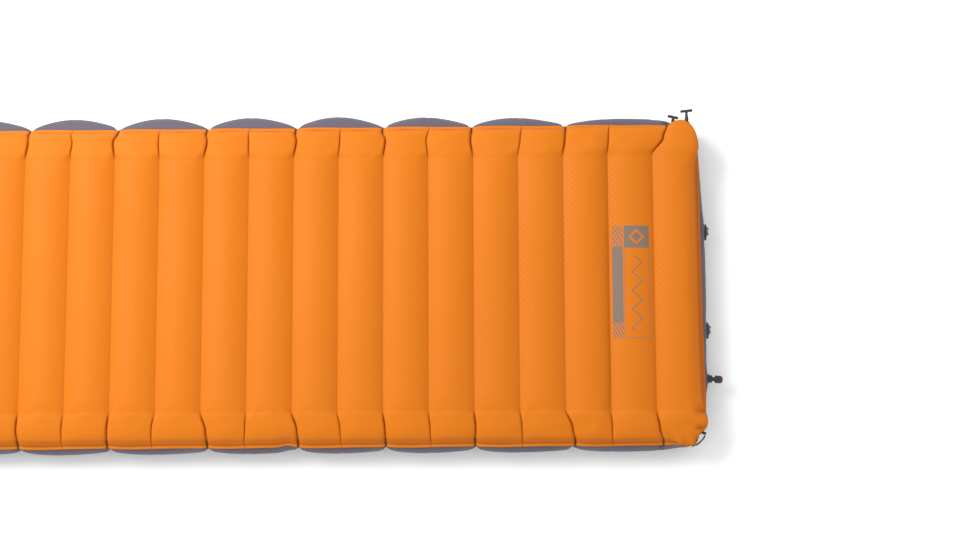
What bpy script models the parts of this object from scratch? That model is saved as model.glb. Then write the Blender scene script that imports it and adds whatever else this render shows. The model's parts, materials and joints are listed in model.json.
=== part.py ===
"""Inflatable sleeping pad with twenty cross tubes, a foot pump and valves at one end.

Metres, +Z up. X runs along the pad towards the valve end, Y across it towards the
toggle side. The origin is the centre of the face that rests on the ground.
"""
import math

import bmesh
import bpy
from mathutils import Matrix, Vector

MM = 0.001

# Driving dimensions
TUBE_COUNT = 20
TUBE_PITCH = 0.100
WIDTH = 0.762
THICKNESS = 0.1016
SEAM_Z = 0.0725          # top face of the weld between the two skins
FLANGE = 8 * MM          # width of the welded flange
CORNER_RADIUS = 0.045
SKIN = 1 * MM
GAP = 0.3 * MM

# The skins
HALF_WELD_X = TUBE_COUNT * TUBE_PITCH / 2
HALF_EDGE_X = HALF_WELD_X + FLANGE
SIDE_BULGE = 20 * MM     # how far the side stands out past the flange, at its fullest
PINCH_BULGE = 4.5 * MM   # the same at the pinches
END_BULGE = 8 * MM
CORNER_BULGE = 6 * MM
CORNER_MIDDLE_BULGE = 1 * MM
HALF_EDGE_Y = WIDTH / 2 - SIDE_BULGE
HALF_WELD_Y = HALF_EDGE_Y - FLANGE
FIRST_PINCH_X = HALF_WELD_X - TUBE_PITCH
SCALLOP = 2 * TUBE_PITCH  # the side is pinched at every second inner wall
TUBE_GROOVE = 13 * MM    # depth of the groove between two tubes
WALL_HALF_LENGTH = 0.285
STEPS_PER_TUBE = 4
STEPS_PER_SCALLOP = 4
CORNER_STEPS = 3

# The inner walls between the tubes
WEB = 0.8 * MM
WALL_FLANGE_WIDTH = 12 * MM

# The end wall and what sits on it
WALL_X = HALF_EDGE_X + END_BULGE
VALVE_Z = 0.044
INTAKE_Y = 0.119
DUMP_Y = -0.103
MOUTH_Y = -0.212
MOUTH_DROOP = math.radians(4)
ROUND_STEPS = 32

# The flat valves, from the outer face of the wall outwards
BORE_RADIUS = 10.6 * MM
COLLAR_RADIUS = 12.8 * MM
FLANGE_RADIUS = 17 * MM
COLLAR_TOP = 3 * MM
COLLAR_DEPTH = 12 * MM
SEAT_RADIUS = 8.5 * MM
PLUG_RADIUS = 9.7 * MM
CAP_RADIUS = 15.3 * MM
CAP_HEIGHT = 7.2 * MM
RIDGE_TOP = 10.8 * MM
RIDGE_OFFSET = 5.9 * MM
CAP_HINGE_RADIUS = 17.5 * MM
CAP_HINGE_HEIGHT = 4.2 * MM
FLAP_RADIUS = 11 * MM
FLAP_THICKNESS = 1 * MM

# The mouth valve
MOUTH_BASE_HEIGHT = 11 * MM
MOUTH_CAP_FOOT = 17.3 * MM
MOUTH_CAP_TOP = 31 * MM
MOUTH_TOP = 34.3 * MM
MOUTH_RADIUS = 8.5 * MM
STEM_RADIUS = 4.75 * MM
MOUTHPIECE_BORE = 2.6 * MM
MOUTH_DEPTH = 8 * MM     # of the base and the stem, inside the wall

# The foot pump in the last tube
PUMP_MIN_Y = -0.030
PUMP_MAX_Y = 0.270
PUMP_FLOOR = 4 * MM
POCKET_SKIN = 1.2 * MM
# Sections of the pocket and of its upper film, (x, z), anticlockwise
POCKET_OUTLINE = ((0.912, PUMP_FLOOR), (0.990, PUMP_FLOOR), (1.001, 0.016), (1.003, 0.056),
                  (0.994, 0.070), (0.975, 0.0885), (0.950, 0.0955), (0.925, 0.092),
                  (0.912, 0.086))
LID_FOOT_Z = 0.079
LID_OUTLINE = ((0.9145, LID_FOOT_Z), (0.9845, LID_FOOT_Z), (0.9845, 0.0802), (0.975, 0.0862),
               (0.950, 0.0935), (0.925, 0.0900), (0.9145, 0.0845))
FOAM_GAP = 1.8 * MM
LID_GAP = 1 * MM
FLAP_ROOM_X = 0.982      # where the room behind the intake valve's flap begins
FLAP_ROOM_RADIUS = 15 * MM
CUT_LENGTH = 30 * MM
CHECK_X = 0.955
CHECK_Z = 0.045
CHECK_HOLE = 7 * MM
CHECK_RING = 11 * MM
CHECK_FLAP = 9 * MM

# The toggles and the cord loop at the corners
# x, z: where the base sits; side: its y; reach: from there to the bar's middle;
# bar: the bar's length; tilt: the bar's turn in degrees
TOGGLES = {
    "large": {"x": 0.982, "z": 0.056, "side": 0.3625, "reach": 31.5 * MM, "bar": 27 * MM,
              "tilt": 6},
    "small": {"x": 0.954, "z": 0.027, "side": 0.3676, "reach": 19.5 * MM, "bar": 24 * MM,
              "tilt": -13},
}
TOGGLE_BAR_RADIUS = 2.75 * MM
TOGGLE_BASE_LENGTH = 7 * MM
TOGGLE_BASE_RADIUS = 8.5 * MM
TOGGLE_BASE_TOP_RADIUS = 3.4 * MM
TOGGLE_BASE_FLATNESS = 0.6
TOGGLE_NECK_RADIUS = 2.6 * MM
TOGGLE_BALL_RADIUS = 3 * MM
LOOP_RADIUS = 1.5 * MM
LOOP_Z = 0.058
LOOP_CENTRE = (HALF_WELD_X - CORNER_RADIUS + FLANGE, CORNER_RADIUS - HALF_EDGE_Y)
LOOP_REACH = 49 * MM     # from the corner's centre to the cord's ends
LOOP_SPREAD = math.radians(17)   # from the corner's diagonal to each end
LOOP_BOW = 6 * MM
TAB_SIZE = (3 * MM, 6 * MM, 7 * MM)   # outwards, along the edge and upwards

ORANGE = (0.85, 0.24, 0.025)
GREY = (0.115, 0.105, 0.12)
BLACK = (0.02, 0.02, 0.024)
CHARCOAL = (0.035, 0.035, 0.045)
DARK_RED = (0.13, 0.02, 0.03)
FILM = (0.62, 0.62, 0.6)
FOAM = (0.75, 0.68, 0.45)
SILICONE = (0.7, 0.7, 0.68)

# Turns that point a piece's local Z along the pad, or across it
TO_PLUS_X = Matrix.Rotation(math.pi / 2, 4, "Y")
TO_MINUS_Y = Matrix.Rotation(math.pi / 2, 4, "X")


def start():
    for obj in list(bpy.data.objects):
        bpy.data.objects.remove(obj, do_unlink=True)
    collections = []
    for name in ("inflatable_sleeping_pad", "cutters"):
        collection = bpy.data.collections.new(name)
        bpy.context.scene.collection.children.link(collection)
        collections.append(collection)
    return collections


PARTS, CUTTERS = start()


def material(name, color, roughness, metallic=0.0):
    found = bpy.data.materials.get(name)
    if found:
        return found
    made = bpy.data.materials.new(name)
    made.use_nodes = True
    shader = made.node_tree.nodes["Principled BSDF"]
    shader.inputs["Base Color"].default_value = (*color, 1)
    shader.inputs["Roughness"].default_value = roughness
    shader.inputs["Metallic"].default_value = metallic
    return made


def place(obj, look, matrix=None):
    """Puts a new object in the parts collection, with its material."""
    for collection in list(obj.users_collection):
        collection.objects.unlink(obj)
    PARTS.objects.link(obj)
    if matrix is not None:
        obj.matrix_world = matrix
    obj.data.materials.append(look)
    return obj


def mesh_object(name, mesh, look, matrix=None):
    return place(bpy.data.objects.new(name, mesh), look, matrix)


def smooth(mesh, angle=40):
    mesh.shade_smooth()
    mesh.set_sharp_from_angle(angle=math.radians(angle))


def as_tool(obj):
    """Hides a cutter, or a shape that is only added to another."""
    for collection in list(obj.users_collection):
        collection.objects.unlink(obj)
    CUTTERS.objects.link(obj)
    obj.hide_render = True
    obj.display_type = "WIRE"
    return obj


def combine(target, tool, operation):
    modifier = target.modifiers.new(f"{operation.lower()} {tool.name}", "BOOLEAN")
    modifier.operation = operation
    modifier.object = tool
    modifier.solver = "EXACT"


def cut(target, tool):
    combine(target, tool, "DIFFERENCE")


def join(target, tool):
    combine(target, tool, "UNION")


def box_tool(name, low, high, matrix=None, bevel=0.0):
    """A box between two corners, as a cutter or an addition."""
    low, high = Vector(low), Vector(high)
    made = bmesh.new()
    bmesh.ops.create_cube(made, size=1)
    bmesh.ops.scale(made, vec=high - low, verts=made.verts)
    bmesh.ops.translate(made, vec=(low + high) / 2, verts=made.verts)
    if bevel:
        bmesh.ops.bevel(made, geom=made.edges[:], offset=bevel, segments=1, affect="EDGES")
    mesh = bpy.data.meshes.new(name)
    made.to_mesh(mesh)
    made.free()
    tool = bpy.data.objects.new(name, mesh)
    PARTS.objects.link(tool)
    if matrix is not None:
        tool.matrix_world = matrix
    return as_tool(tool)


def round_mesh(name, radius_low, radius_high, length, steps=ROUND_STEPS, matrix=None):
    """A closed cone or cylinder that stands on its own origin along +Z."""
    made = bmesh.new()
    bmesh.ops.create_cone(made, cap_ends=True, segments=steps, radius1=radius_low,
                          radius2=radius_high, depth=length)
    bmesh.ops.translate(made, vec=(0, 0, length / 2), verts=made.verts)
    if matrix is not None:
        bmesh.ops.transform(made, matrix=matrix, verts=made.verts)
    mesh = bpy.data.meshes.new(name)
    made.to_mesh(mesh)
    made.free()
    smooth(mesh)
    return mesh


def round_tool(name, radius, length, matrix, steps=ROUND_STEPS):
    tool = bpy.data.objects.new(name, round_mesh(name, radius, radius, length, steps))
    PARTS.objects.link(tool)
    tool.matrix_world = matrix
    return as_tool(tool)


def turned(name, profile, look, matrix, ring=False, steps=ROUND_STEPS):
    """A turned piece around local Z; the profile runs from the top down its outer side."""
    mesh = bpy.data.meshes.new(name)
    points = [(radius, 0, height) for radius, height in profile]
    edges = [(i, i + 1) for i in range(len(points) - 1)]
    if ring:
        edges.append((len(points) - 1, 0))
    mesh.from_pydata(points, edges, [])
    obj = mesh_object(name, mesh, look, matrix)
    screw = obj.modifiers.new("turn", "SCREW")
    screw.steps = steps
    screw.render_steps = steps
    screw.use_merge_vertices = True
    screw.merge_threshold = 0.00001
    screw.use_smooth_shade = True
    return obj


def outline_solid(name, points, half_depth, look, matrix):
    """A flat outline in local XY, half_depth thick on each side of it."""
    curve = bpy.data.curves.new(name, "CURVE")
    curve.dimensions = "2D"
    curve.fill_mode = "BOTH"
    curve.extrude = half_depth
    spline = curve.splines.new("POLY")
    spline.points.add(len(points) - 1)
    for point, (x, y) in zip(spline.points, points):
        point.co = (x, y, 0, 1)
    spline.use_cyclic_u = True
    return place(bpy.data.objects.new(name, curve), look, matrix)


def curve_to_mesh(obj):
    """Makes a curve object a closed mesh of the same name and place."""
    name = obj.name
    look = obj.data.materials[0]
    matrix = obj.matrix_world.copy()
    bpy.context.view_layer.update()
    evaluated = obj.evaluated_get(bpy.context.evaluated_depsgraph_get())
    mesh = bpy.data.meshes.new_from_object(evaluated)
    made = bmesh.new()
    made.from_mesh(mesh)
    bmesh.ops.remove_doubles(made, verts=made.verts, dist=0.00001)
    bmesh.ops.recalc_face_normals(made, faces=made.faces)
    made.to_mesh(mesh)
    made.free()
    bpy.data.objects.remove(obj, do_unlink=True)
    mesh.materials.clear()
    return mesh_object(name, mesh, look, matrix)


def shell_modifier(obj):
    shell = obj.modifiers.new("skin", "SOLIDIFY")
    shell.thickness = SKIN
    shell.offset = -1


# ---------------------------------------------------------------- the two skins

def tube_height(x):
    """Height of the top skin along the pad's middle, above the weld."""
    crown = THICKNESS - SEAM_Z
    inside = min(abs(x) / TUBE_PITCH, TUBE_COUNT / 2)
    from_centre = abs(inside - math.floor(min(inside, TUBE_COUNT / 2 - 0.5)) - 0.5) * 2
    if inside > TUBE_COUNT / 2 - 0.5:
        return crown * (1 - from_centre ** 2.2)
    return crown - TUBE_GROOVE * from_centre ** 2


def across_factor(y):
    """1 where the inner walls hold the skins, falling round to 0 at the side weld."""
    past = (abs(y) - WALL_HALF_LENGTH) / (HALF_WELD_Y - WALL_HALF_LENGTH)
    if past <= 0:
        return 1.0
    return math.sqrt(max(0.0, 1 - past ** 2))


def half_width_at(x):
    """Half width of the top skin at x, less where the corners are rounded."""
    into_corner = abs(x) - (HALF_EDGE_X - CORNER_RADIUS)
    if into_corner <= 0:
        return HALF_EDGE_Y
    drop = CORNER_RADIUS - math.sqrt(max(0.0, CORNER_RADIUS ** 2 - into_corner ** 2))
    return HALF_EDGE_Y - drop


def top_columns():
    columns = [HALF_EDGE_X]
    steps = TUBE_COUNT * STEPS_PER_TUBE
    columns += [HALF_WELD_X - i * 2 * HALF_WELD_X / steps for i in range(steps + 1)]
    columns += [HALF_EDGE_X - CORNER_RADIUS * part for part in (0.10, 0.32)]
    columns += [-x for x in columns[-2:]] + [-HALF_EDGE_X]
    return sorted(set(round(x, 6) for x in columns))


def top_panel():
    """The top skin: a sheet of cross tubes with a flat welded flange all round."""
    between = HALF_WELD_Y - WALL_HALF_LENGTH
    half_rows = [HALF_EDGE_Y, HALF_WELD_Y]
    half_rows += [WALL_HALF_LENGTH + between * part for part in (0.8, 0.5, 0)]
    rows = sorted([-y for y in half_rows] + half_rows)
    columns = top_columns()
    made = bmesh.new()
    grid = []
    for x in columns:
        narrowing = half_width_at(x) / HALF_EDGE_Y
        height = tube_height(x) if abs(x) < HALF_WELD_X else 0.0
        line = [made.verts.new((x, y * narrowing, SEAM_Z + height * across_factor(y)))
                for y in rows]
        grid.append(line)
    for left, right in zip(grid, grid[1:]):
        for i in range(len(rows) - 1):
            made.faces.new((left[i], right[i], right[i + 1], left[i + 1]))
    mesh = bpy.data.meshes.new("top_panel")
    made.to_mesh(mesh)
    made.free()
    smooth(mesh, 50)
    shell_modifier(mesh_object("top_panel", mesh, material("orange_fabric", ORANGE, 0.6)))


def side_bulge(x):
    """How far the side stands out past the flange: an arc between each two pinches."""
    if abs(x) > FIRST_PINCH_X:
        return CORNER_BULGE if abs(x) > FIRST_PINCH_X + TUBE_PITCH / 4 else PINCH_BULGE
    along = (x + SCALLOP / 2) / SCALLOP
    from_middle = 2 * (along - math.floor(along) - 0.5)
    return PINCH_BULGE + (SIDE_BULGE - PINCH_BULGE) * (1 - from_middle ** 2)


def weld_outline():
    """The weld's outline anticlockwise: each point with its outward direction and bulge."""
    radius = CORNER_RADIUS - FLANGE
    centre = Vector((HALF_WELD_X - radius, HALF_WELD_Y - radius))
    corner = []
    for i in range(CORNER_STEPS + 1):
        angle = i / CORNER_STEPS * math.pi / 2
        out = Vector((math.cos(angle), math.sin(angle)))
        bulge = {0: END_BULGE, CORNER_STEPS: CORNER_BULGE}.get(i, CORNER_MIDDLE_BULGE)
        corner.append((centre + out * radius, out, bulge))
    step = SCALLOP / STEPS_PER_SCALLOP
    count = round(2 * FIRST_PINCH_X / step)
    side = []
    for i in range(count + 1):
        x = FIRST_PINCH_X - i * step
        side.append((Vector((x, HALF_WELD_Y)), Vector((0, 1)), side_bulge(x)))
    mirrored = [(Vector((-p.x, p.y)), Vector((-n.x, n.y)), b) for p, n, b in reversed(corner)]
    half = corner + side + mirrored
    turned_half = [(-p, -n, b) for p, n, b in half]
    return half + turned_half


def bottom_panel():
    """The bottom skin: a flat-bottomed tray whose sides swell out past the weld."""
    outline = weld_outline()
    ring_top = SEAM_Z - SKIN - GAP
    made = bmesh.new()
    rings = []
    for level in range(7):
        ring = []
        for point, out, bulge in outline:
            shoulder = 0.65 + 0.3 * abs(out.x)
            stands_out, height = (
                (0, ring_top),
                (FLANGE, ring_top - 1 * MM),
                (FLANGE + shoulder * bulge, 0.061),
                (FLANGE + bulge, VALVE_Z),
                (FLANGE + 0.96 * bulge, 0.024),
                (FLANGE + 0.5 * bulge, 0.007),
                (-4 * MM, 0.0),
            )[level]
            flat = point + out * stands_out
            ring.append(made.verts.new((flat.x, flat.y, height)))
        rings.append(ring)
    for upper, lower in zip(rings, rings[1:]):
        for i, corner in enumerate(upper):
            after = (i + 1) % len(upper)
            made.faces.new((corner, lower[i], lower[after], upper[after]))
    made.faces.new(list(reversed(rings[-1])))
    mesh = bpy.data.meshes.new("bottom_panel")
    made.to_mesh(mesh)
    made.free()
    smooth(mesh, 50)
    tray = mesh_object("bottom_panel", mesh, material("grey_fabric", GREY, 0.7))
    shell_modifier(tray)
    for name, y, radius in (("intake", INTAKE_Y, COLLAR_RADIUS + GAP),
                            ("dump", DUMP_Y, COLLAR_RADIUS + GAP),
                            ("mouth", MOUTH_Y, MOUTH_RADIUS - 1 * MM)):
        hole = Matrix.Translation((WALL_X - CUT_LENGTH / 2, y, VALVE_Z)) @ TO_PLUS_X
        cut(tray, round_tool(f"{name}_hole", radius, CUT_LENGTH, hole, 24))


# ---------------------------------------------------------------- the inner walls

def inner_walls():
    """An I-shaped fabric wall under each groove, welded to both skins."""
    foot = SKIN + GAP
    head = THICKNESS - TUBE_GROOVE - SKIN - GAP
    half_web = WEB / 2
    half_flange = WALL_FLANGE_WIDTH / 2
    right = [(half_flange, foot), (half_flange, foot + WEB), (half_web, foot + WEB),
             (half_web, head - WEB), (half_flange, head - WEB), (half_flange, head)]
    section = right + [(-x, z) for x, z in reversed(right)]
    for number in range(1, TUBE_COUNT):
        x = HALF_WELD_X - number * TUBE_PITCH
        stand_up = Matrix.Translation((x, 0, 0)) @ TO_MINUS_Y
        outline_solid(f"inner_wall_{number:02d}", section, WALL_HALF_LENGTH,
                      material("wall_fabric", FILM, 0.6), stand_up)


# ---------------------------------------------------------------- the foot pump

def inset_outline(outline, inset):
    """The outline moved inwards by inset, for an outline that runs anticlockwise."""
    moved = []
    for i, corner in enumerate(outline):
        before = Vector(outline[i - 1])
        here = Vector(corner)
        after = Vector(outline[(i + 1) % len(outline)])
        first = (here - before).normalized()
        second = (after - here).normalized()
        normal = Vector((-first.y - second.y, first.x + second.x)).normalized()
        stretch = 1 / normal.dot(Vector((-first.y, first.x)))
        moved.append(tuple(here + normal * inset * stretch))
    return moved


def across_solid(name, outline, low_y, high_y, look):
    """An outline in the XZ plane, solid between two Y values."""
    stand_up = Matrix.Translation((0, (low_y + high_y) / 2, 0)) @ TO_MINUS_Y
    solid = outline_solid(name, outline, (high_y - low_y) / 2, look, stand_up)
    return curve_to_mesh(solid)


def pump_pocket():
    """The pump's air pocket: a film tray, open on top, with an inlet and an outlet."""
    look = material("pocket_film", FILM, 0.5)
    tray = across_solid("pump_pocket", POCKET_OUTLINE, PUMP_MIN_Y, PUMP_MAX_Y, look)
    inner = inset_outline(POCKET_OUTLINE, POCKET_SKIN)
    sides = [corner for corner in inner if corner[1] < POCKET_OUTLINE[3][1]]
    above = THICKNESS
    open_top = sides + [(sides[-1][0], above), (sides[0][0], above)]
    hollow = across_solid("pocket_hollow", open_top, PUMP_MIN_Y + POCKET_SKIN,
                          PUMP_MAX_Y - POCKET_SKIN, look)
    cut(tray, as_tool(hollow))
    inlet = Matrix.Translation((FLAP_ROOM_X, INTAKE_Y, VALVE_Z)) @ TO_PLUS_X
    cut(tray, round_tool("pump_inlet", COLLAR_RADIUS + 2 * GAP, CUT_LENGTH, inlet, 24))
    inside = PUMP_MIN_Y + 4 * POCKET_SKIN
    outlet = Matrix.Translation((CHECK_X, inside, CHECK_Z)) @ TO_MINUS_Y
    cut(tray, round_tool("pump_outlet", CHECK_HOLE, 8 * POCKET_SKIN, outlet, 24))


def pump_foam():
    """The open-cell foam block that pushes the pump up again."""
    outline = inset_outline(POCKET_OUTLINE, POCKET_SKIN + FOAM_GAP)
    outline = [(x, min(z, LID_FOOT_Z - GAP)) for x, z in outline]
    to_film = POCKET_SKIN + FOAM_GAP
    block = across_solid("pump_foam", outline, PUMP_MIN_Y + to_film, PUMP_MAX_Y - to_film,
                         material("open_cell_foam", FOAM, 0.95))
    room = Matrix.Translation((FLAP_ROOM_X, INTAKE_Y, VALVE_Z)) @ TO_PLUS_X
    cut(block, round_tool("flap_room", FLAP_ROOM_RADIUS, CUT_LENGTH, room, 24))


def pump_lid():
    """The pocket's upper film, which the foot pushes down with the skin above it."""
    to_film = POCKET_SKIN + LID_GAP
    across_solid("pump_lid", LID_OUTLINE, PUMP_MIN_Y + to_film, PUMP_MAX_Y - to_film,
                 material("pocket_film", FILM, 0.5))


def check_valve():
    """The one-way valve from the pump into the air chamber: a ring and a hinged flap."""
    at_hole = Matrix.Translation((CHECK_X, PUMP_MIN_Y, CHECK_Z)) @ TO_MINUS_Y
    ring = ((CHECK_HOLE, 2.1 * MM), (CHECK_RING, 2.1 * MM), (CHECK_RING, GAP),
            (CHECK_HOLE, GAP))
    turned("check_valve_ring", ring, material("charcoal_plastic", CHARCOAL, 0.5), at_hole,
           ring=True, steps=24)
    hinge_height = CHECK_FLAP + 0.5 * MM
    hinge = Matrix.Translation((CHECK_X, PUMP_MIN_Y - 2.9 * MM, CHECK_Z + hinge_height))
    disc = Matrix.Translation((0, 0.4 * MM, -hinge_height)) @ TO_MINUS_Y
    mesh = round_mesh("check_valve_flap", CHECK_FLAP, CHECK_FLAP, 0.8 * MM, 24, disc)
    mesh_object("check_valve_flap", mesh, material("silicone", SILICONE, 0.4), hinge)


# ---------------------------------------------------------------- the valves

def at_wall(y):
    return Matrix.Translation((WALL_X, y, VALVE_Z)) @ TO_PLUS_X


def flat_valve_flange(name, y):
    """The welded flange and collar of a flat valve, with two hinge lugs."""
    profile = ((BORE_RADIUS, COLLAR_TOP), (COLLAR_RADIUS - 0.3 * MM, COLLAR_TOP),
               (COLLAR_RADIUS, COLLAR_TOP - 0.3 * MM), (COLLAR_RADIUS, 2.2 * MM),
               (FLANGE_RADIUS - 0.8 * MM, 1.9 * MM), (FLANGE_RADIUS, GAP + 0.5 * MM),
               (FLANGE_RADIUS, GAP), (COLLAR_RADIUS, GAP), (COLLAR_RADIUS, -COLLAR_DEPTH),
               (SEAT_RADIUS, -COLLAR_DEPTH), (SEAT_RADIUS, 1 * MM - COLLAR_DEPTH),
               (BORE_RADIUS, 1 * MM - COLLAR_DEPTH))
    flange = turned(name, profile, material("charcoal_plastic", CHARCOAL, 0.45),
                    at_wall(y), ring=True)
    for side in (-1, 1):
        low = (min(side * 4.2, side * 6.2) * MM, -18.6 * MM, 1.0 * MM)
        high = (max(side * 4.2, side * 6.2) * MM, -15.8 * MM, 5.6 * MM)
        join(flange, box_tool(f"{name}_lug_{side + 1}", low, high, at_wall(y), 0.4 * MM))


def flat_valve_cap(name, y):
    """A flat valve's plug cap on a living hinge, with two finger ridges and a tab."""
    hinge = Matrix.Translation((WALL_X + CAP_HINGE_HEIGHT, y - CAP_HINGE_RADIUS, VALVE_Z))
    profile = ((0, CAP_HEIGHT), (6 * MM, CAP_HEIGHT), (10 * MM, CAP_HEIGHT - 1 * MM),
               (13.6 * MM, 4.9 * MM), (CAP_RADIUS - 0.2 * MM, 4.1 * MM),
               (CAP_RADIUS - 0.2 * MM, COLLAR_TOP + GAP), (PLUG_RADIUS, COLLAR_TOP + GAP),
               (PLUG_RADIUS, -1.5 * MM), (PLUG_RADIUS - 0.7 * MM, -2.6 * MM),
               (8 * MM, -2.6 * MM), (8 * MM, 2 * MM), (0, 2 * MM))
    look = material("charcoal_plastic", CHARCOAL, 0.45)
    to_hinge = Matrix.Translation((-CAP_HINGE_HEIGHT, CAP_HINGE_RADIUS, 0)) @ TO_PLUS_X
    cap = turned(name, profile, look, None)
    pivot = bpy.data.objects.new(f"{name}_pivot", None)
    PARTS.objects.link(pivot)
    pivot.matrix_world = hinge
    cap.parent = pivot
    cap.matrix_basis = to_hinge
    on_cap = hinge @ to_hinge
    for side in (-1, 1):
        middle = side * RIDGE_OFFSET
        low = (-8 * MM, middle - 1.6 * MM, 5 * MM)
        high = (8 * MM, middle + 1.6 * MM, RIDGE_TOP)
        join(cap, box_tool(f"{name}_ridge_{side + 1}", low, high, on_cap, 0.8 * MM))
    tongue_low = (-3.7 * MM, -18.4 * MM, COLLAR_TOP + GAP)
    tongue_high = (3.7 * MM, -13 * MM, 4.9 * MM)
    join(cap, box_tool(f"{name}_tongue", tongue_low, tongue_high, on_cap, 0.4 * MM))
    tab_low = (-4 * MM, 13 * MM, COLLAR_TOP + GAP)
    tab_high = (4 * MM, 17.4 * MM, 4.7 * MM)
    join(cap, box_tool(f"{name}_tab", tab_low, tab_high, on_cap, 0.4 * MM))


def intake_flap():
    """The silicone one-way flap behind the intake valve's seat, hinged at its top edge."""
    hinge_height = FLAP_RADIUS + 0.4 * MM
    back = WALL_X - COLLAR_DEPTH - GAP - FLAP_THICKNESS / 2
    hinge = Matrix.Translation((back, INTAKE_Y, VALVE_Z + hinge_height))
    disc = Matrix.Translation((-FLAP_THICKNESS / 2, 0, -hinge_height)) @ TO_PLUS_X
    mesh = round_mesh("intake_flap", FLAP_RADIUS, FLAP_RADIUS, FLAP_THICKNESS, 24, disc)
    mesh_object("intake_flap", mesh, material("silicone", SILICONE, 0.4), hinge)


def mouth_valve():
    """The twist valve: a base on the wall, a stem, and a cap that lifts as it turns."""
    axis = Matrix.Translation((WALL_X, MOUTH_Y, VALVE_Z))
    axis = axis @ Matrix.Rotation(-MOUTH_DROOP, 4, "Z") @ TO_PLUS_X
    black = material("black_plastic", BLACK, 0.4)
    bore = STEM_RADIUS + GAP
    foot = 1.3 * MM
    base = ((bore, MOUTH_BASE_HEIGHT), (MOUTH_RADIUS - 0.5 * MM, MOUTH_BASE_HEIGHT),
            (MOUTH_RADIUS, MOUTH_BASE_HEIGHT - 0.6 * MM), (MOUTH_RADIUS, 3.2 * MM),
            (12 * MM, 2.3 * MM), (12 * MM, foot), (6.4 * MM, foot), (6.4 * MM, -MOUTH_DEPTH),
            (bore, -MOUTH_DEPTH))
    turned("mouth_valve_base", base, black, axis, ring=True)
    stem = ((MOUTHPIECE_BORE, 26 * MM), (STEM_RADIUS - 0.4 * MM, 26 * MM),
            (STEM_RADIUS, 25.4 * MM), (STEM_RADIUS, -MOUTH_DEPTH),
            (MOUTHPIECE_BORE, -MOUTH_DEPTH))
    turned("mouth_valve_stem", stem, black, axis, ring=True, steps=24)
    mouthpiece_hole = 3.2 * MM
    cap = ((mouthpiece_hole, MOUTH_CAP_TOP), (MOUTH_RADIUS - 0.6 * MM, MOUTH_CAP_TOP),
           (MOUTH_RADIUS, MOUTH_CAP_TOP - 0.8 * MM), (MOUTH_RADIUS, MOUTH_CAP_FOOT + 0.6 * MM),
           (MOUTH_RADIUS - 0.5 * MM, MOUTH_CAP_FOOT), (bore, MOUTH_CAP_FOOT),
           (bore, MOUTH_CAP_TOP - 1.5 * MM), (mouthpiece_hole, MOUTH_CAP_TOP - 1.5 * MM))
    turned("mouth_valve_cap", cap, black, axis, ring=True)
    neck = mouthpiece_hole - GAP
    tip = ((2 * MM, MOUTH_TOP), (5.4 * MM, MOUTH_TOP), (6.5 * MM, MOUTH_TOP - 1.1 * MM),
           (6.5 * MM, MOUTH_CAP_TOP + GAP), (neck, MOUTH_CAP_TOP + GAP),
           (neck, MOUTH_CAP_TOP - 1.2 * MM), (2 * MM, MOUTH_CAP_TOP - 1.2 * MM))
    turned("mouth_valve_tip", tip, material("dark_red_rubber", DARK_RED, 0.5), axis,
           ring=True, steps=24)


# ---------------------------------------------------------------- toggles and loop

def toggle(size, x, z, side, reach, bar, tilt):
    """A rubber T toggle on a flared base at the pad's corner."""
    black = material("black_rubber", BLACK, 0.55)
    out = Matrix.Rotation(-math.pi / 2, 4, "X")
    flatten = Matrix.Diagonal((1, 1, TOGGLE_BASE_FLATNESS, 1))
    base_mesh = round_mesh(f"toggle_{size}_base", TOGGLE_BASE_RADIUS, TOGGLE_BASE_TOP_RADIUS,
                           TOGGLE_BASE_LENGTH, 20, flatten @ out)
    mesh_object(f"toggle_{size}_base", base_mesh, black, Matrix.Translation((x, side, z)))
    to_root = TOGGLE_BASE_LENGTH + GAP + TOGGLE_BALL_RADIUS
    root = Matrix.Translation((x, side + to_root, z))
    neck = reach - to_root
    neck_mesh = round_mesh(f"toggle_{size}", TOGGLE_NECK_RADIUS, TOGGLE_NECK_RADIUS * 0.85,
                           neck, 16, out)
    tee = mesh_object(f"toggle_{size}", neck_mesh, black, root)
    ball_mesh = bmesh.new()
    bmesh.ops.create_uvsphere(ball_mesh, u_segments=16, v_segments=8,
                              radius=TOGGLE_BALL_RADIUS)
    mesh = bpy.data.meshes.new(f"toggle_{size}_root")
    ball_mesh.to_mesh(mesh)
    ball_mesh.free()
    join(tee, as_tool(mesh_object(f"toggle_{size}_root", mesh, black, root)))
    tilting = Matrix.Rotation(math.radians(tilt), 4, "Z")
    middle_of_bar = Matrix.Translation((0, neck, 0)) @ tilting
    along_x = Matrix.Translation((-bar / 2, 0, 0)) @ TO_PLUS_X
    bar_at = root @ middle_of_bar @ along_x
    bar_tool = round_tool(f"toggle_{size}_bar", TOGGLE_BAR_RADIUS, bar, bar_at, 16)
    bevel = bar_tool.modifiers.new("round ends", "BEVEL")
    bevel.width = 1.2 * MM
    bevel.segments = 2
    bevel.limit_method = "ANGLE"
    join(tee, bar_tool)


def round_loop_corner(turn):
    """The point and outward direction at a turn from the loop corner's diagonal."""
    angle = turn - math.pi / 4
    outward = Vector((math.cos(angle), math.sin(angle)))
    return Vector(LOOP_CENTRE) + outward * LOOP_REACH, angle


def loop_points():
    """A bow of cord round the corner, from one anchor tab to the other."""
    start_point = round_loop_corner(LOOP_SPREAD)[0]
    end_point = round_loop_corner(-LOOP_SPREAD)[0]
    middle = (start_point + end_point) / 2
    along = (end_point - start_point).normalized()
    outward = Vector((-along.y, along.x))
    half = (end_point - start_point).length / 2
    steps = 12
    points = []
    for i in range(steps + 1):
        angle = math.pi * i / steps
        flat = middle - along * half * math.cos(angle) + outward * LOOP_BOW * math.sin(angle)
        points.append((flat.x, flat.y, LOOP_Z))
    return points


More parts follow.
